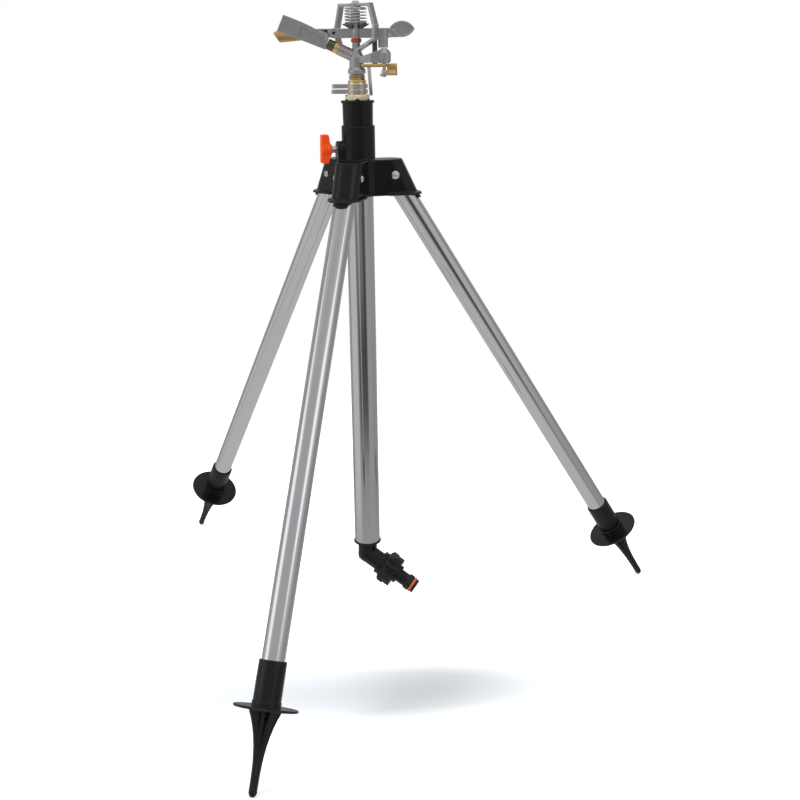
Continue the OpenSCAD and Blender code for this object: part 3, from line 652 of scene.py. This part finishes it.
def scaled_about(centre, factors):
    """A matrix that scales a mesh about a point."""
    there = Matrix.Translation(centre)
    return there @ Matrix.Diagonal((*factors, 1)) @ there.inverted()


def coil_path(centre, radius, low, high, turns, dead, steps=36):
    """Points of a helix with a flat stretch of dead turns at each end."""
    for i in range(int(turns * steps) + 1):
        a = 2 * math.pi * i / steps
        f = min(1.0, max(0.0, (i / steps - dead) / (turns - 2 * dead)))
        yield (
            centre.x + radius * math.cos(a),
            centre.y + radius * math.sin(a),
            low + f * (high - low),
        )


def middle(node):
    low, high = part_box(node)
    return (low + high) / 2


def build_spring(node, turns, wire, dead, look=None):
    """A coil of wire of radius wire, inside its CAD node's box."""
    low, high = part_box(node)
    radius = (high.x - low.x) / 2 - wire
    path = list(coil_path(middle(node), radius, low.z + wire, high.z - wire, turns, dead))
    put(swept(path, wire), node + "_coil", node, look)


def build_springs():
    build_spring("arm_spring", 6, 0.55 * MM, 0.6)
    build_spring("bearing_spring", 3, 0.6 * MM, 0.2, "bronzed_wire")


def finish_cad_nodes():
    """The nodes whose CAD shape stays get their materials."""
    for node, piece in frame["nodes"].items():
        if piece.hide_render:
            continue
        piece.data.materials.clear()
        piece.data.materials.append(MATERIALS[SLOT_OF[node]])
        for polygon in piece.data.polygons:
            polygon.use_smooth = True


# ---------- Studio ----------

FLOOR_RADIUS = 1.1
FLOOR_DROP = 0.5 * MM
# The floor's own light, which hides the small shadows round the feet
FLOOR_GLOW = 0.45
# The pool of shade: its bearing and distance from the column, half length and half depth
SHADE_BEARING = -74
SHADE_AWAY = 0.15
SHADE_SIZE = (0.275, 0.056)

# Patches of the studio, each (left, right, low, high, softness, brightness): sideways in
# degrees from the camera's bearing, and up and down in degrees from the horizon
STUDIO = (
    (-112, -47, -25, 2, 5, 0.56),
    (-47, 37, -20, -3, 4, 0.19),
    (12, 36, -20, -3, 3, 0.07),
    (-34, 24, -20, -13, 4, 0.05),
    (88, 125, -23, -15, 6, 0.12),
    (42, 60, -7, 8, 5, 0.50),
    (-50, 30, 22, 56, 8, 0.42),
    (-98, -60, 8, 34, 4, 1.08),
    (42, 71, 14, 32, 4, 1.15),
    (-134, -96, 4, 60, 8, 0.34),
    (88, 134, -24, 60, 8, 0.30),
)
# Brightness of the floor, the room at eye level, the room above and the light overhead
PAPER, ROOM, CEILING, OVERHEAD = 0.54, 0.34, 0.50, 1.0
# Where each gives way to the next, and how softly, in degrees above the horizon
PAPER_END, OVERHEAD_START, SOFT = -28, 66, 3

# Soft boxes that light the hub, each (name, bearing from the camera's, rise, distance, size, power)
LIGHTS = (
    ("overhead", -160, 72, 1.6, (0.34, 0.22), 17),
    ("left_box", -62, 32, 1.7, (0.8, 0.8), 12),
    ("right_box", 55, 38, 1.8, (0.8, 0.8), 11),
)


def floor_material():
    """White paper with a pool of shade, which fades out to the backdrop at the rim."""
    s = Shader("floor_paper")
    place = s.add("ShaderNodeTexCoord").outputs["Object"]
    away = s.add("ShaderNodeVectorMath", {0: place}, operation="LENGTH").outputs["Value"]
    paper = s.mix(s.noise(900, 3), (0.84, 0.86, 0.88), (0.88, 0.89, 0.90))
    # distance from the middle of the shade, 1 at its rim
    spot = s.add(
        "ShaderNodeMapping",
        {
            "Vector": place,
            "Location": unit(SHADE_BEARING) * SHADE_AWAY,
            "Rotation": (0, 0, math.radians(CAMERA_BEARING + 90)),
            "Scale": (*SHADE_SIZE, 1.0),
        },
        vector_type="TEXTURE",
    ).outputs["Vector"]
    out = s.add("ShaderNodeVectorMath", {0: spot}, operation="LENGTH").outputs["Value"]
    shade = s.remap(out, 1, 0, 0.0, 1.0, "SMOOTHSTEP")
    s.set(
        Base_Color=s.mix(shade, paper, (0.64, 0.675, 0.705)),
        Roughness=0.9,
        Specular_IOR_Level=0.1,
        Emission_Color=(1.0, 1.0, 1.0, 1.0),
        Emission_Strength=s.remap(out, 0.0, FLOOR_GLOW, 0.45, 1.1, "SMOOTHSTEP"),
    )
    clear = s.add("ShaderNodeBsdfTransparent")
    fade = s.add("ShaderNodeMixShader", {0: s.remap(away, 0, 1, 0.45, 1.0)})
    s.links.new(s.bsdf.outputs["BSDF"], fade.inputs[1])
    s.links.new(clear.outputs["BSDF"], fade.inputs[2])
    s.links.new(fade.outputs["Shader"], s.output.inputs["Surface"])
    return s.material


def add_floor():
    sides = 64
    verts = [unit(360 * k / sides) * FLOOR_RADIUS for k in range(sides)]
    mesh = bpy.data.meshes.new("floor")
    mesh.from_pydata(verts, [], [tuple(range(sides))])
    mesh.materials.append(floor_material())
    floor = bpy.data.objects.new("floor", mesh)
    floor.location.z = -FLOOR_DROP
    floor.visible_glossy = False
    bpy.context.scene.collection.objects.link(floor)


def add_world():
    """White behind the object, and for reflections a room with soft boxes beside the camera."""
    world = bpy.data.worlds.new("studio")
    bpy.context.scene.world = world
    t = Tree(world)
    turned_round = t.add(
        "ShaderNodeVectorRotate",
        {
            "Vector": t.add("ShaderNodeTexCoord").outputs["Generated"],
            "Axis": (0, 0, 1),
            "Angle": -math.radians(CAMERA_BEARING),
        },
        rotation_type="AXIS_ANGLE",
    )
    split = t.add("ShaderNodeSeparateXYZ", {0: turned_round.outputs["Vector"]})
    sideways = t.math("ARCTAN2", split.outputs["Y"], split.outputs["X"])
    rise = t.math("ARCSINE", split.outputs["Z"])
    soft = math.radians(SOFT)

    def towards(level, brightness, mask):
        change = t.math("MULTIPLY", t.math("SUBTRACT", brightness, level), mask)
        return t.math("ADD", level, change)

    def above(degrees, below, over):
        angle = math.radians(degrees)
        return t.remap(rise, 0, 1, angle - below * soft, angle + over * soft, "SMOOTHSTEP")

    level = t.remap(above(PAPER_END, 1, 1), PAPER, ROOM, 0, 1)
    level = t.math("ADD", level, t.remap(above(0, 1, 3), 0, CEILING - ROOM, 0, 1))
    for *edges, brightness in STUDIO:
        left, right, low, high, edge = (math.radians(v) for v in edges)
        across = t.band(sideways, left, right, edge)
        upright = t.band(rise, low, high, min(edge, soft / 2))
        level = towards(level, brightness, t.math("MULTIPLY", across, upright))
    level = towards(level, OVERHEAD, above(OVERHEAD_START, 3, 3))
    grey = t.add("ShaderNodeCombineColor", {0: level, 1: level, 2: level}).outputs[0]
    seen = t.add("ShaderNodeLightPath").outputs["Is Camera Ray"]
    background = t.add("ShaderNodeBackground", {"Color": t.mix(seen, grey, (1, 1, 1)), "Strength": 1.0})
    output = t.add("ShaderNodeOutputWorld")
    t.links.new(background.outputs["Background"], output.inputs["Surface"])


def add_light(name, bearing, rise, distance, size, power, target):
    """A soft box that lights target. Only the studio's patches are mirrored in bright metal."""
    data = bpy.data.lights.new(name, "AREA")
    data.shape = "RECTANGLE"
    data.size, data.size_y = size
    data.energy = power
    light = bpy.data.objects.new(name, data)
    light.location = target + unit(bearing, rise) * distance
    light.rotation_euler = (target - light.location).to_track_quat("-Z", "Y").to_euler()
    light.visible_glossy = False
    bpy.context.scene.collection.objects.link(light)


def build_studio():
    add_world()
    add_floor()
    for name, bearing, *rest in LIGHTS:
        add_light(name, CAMERA_BEARING + bearing, *rest, middle("hub"))
    bpy.context.scene.view_settings.view_transform = "Standard"


add_camera()
MATERIALS = make_materials()
build_tubes()
build_mouldings()
build_castings()
build_small_metal()
build_nozzle()
build_springs()
finish_cad_nodes()
build_studio()
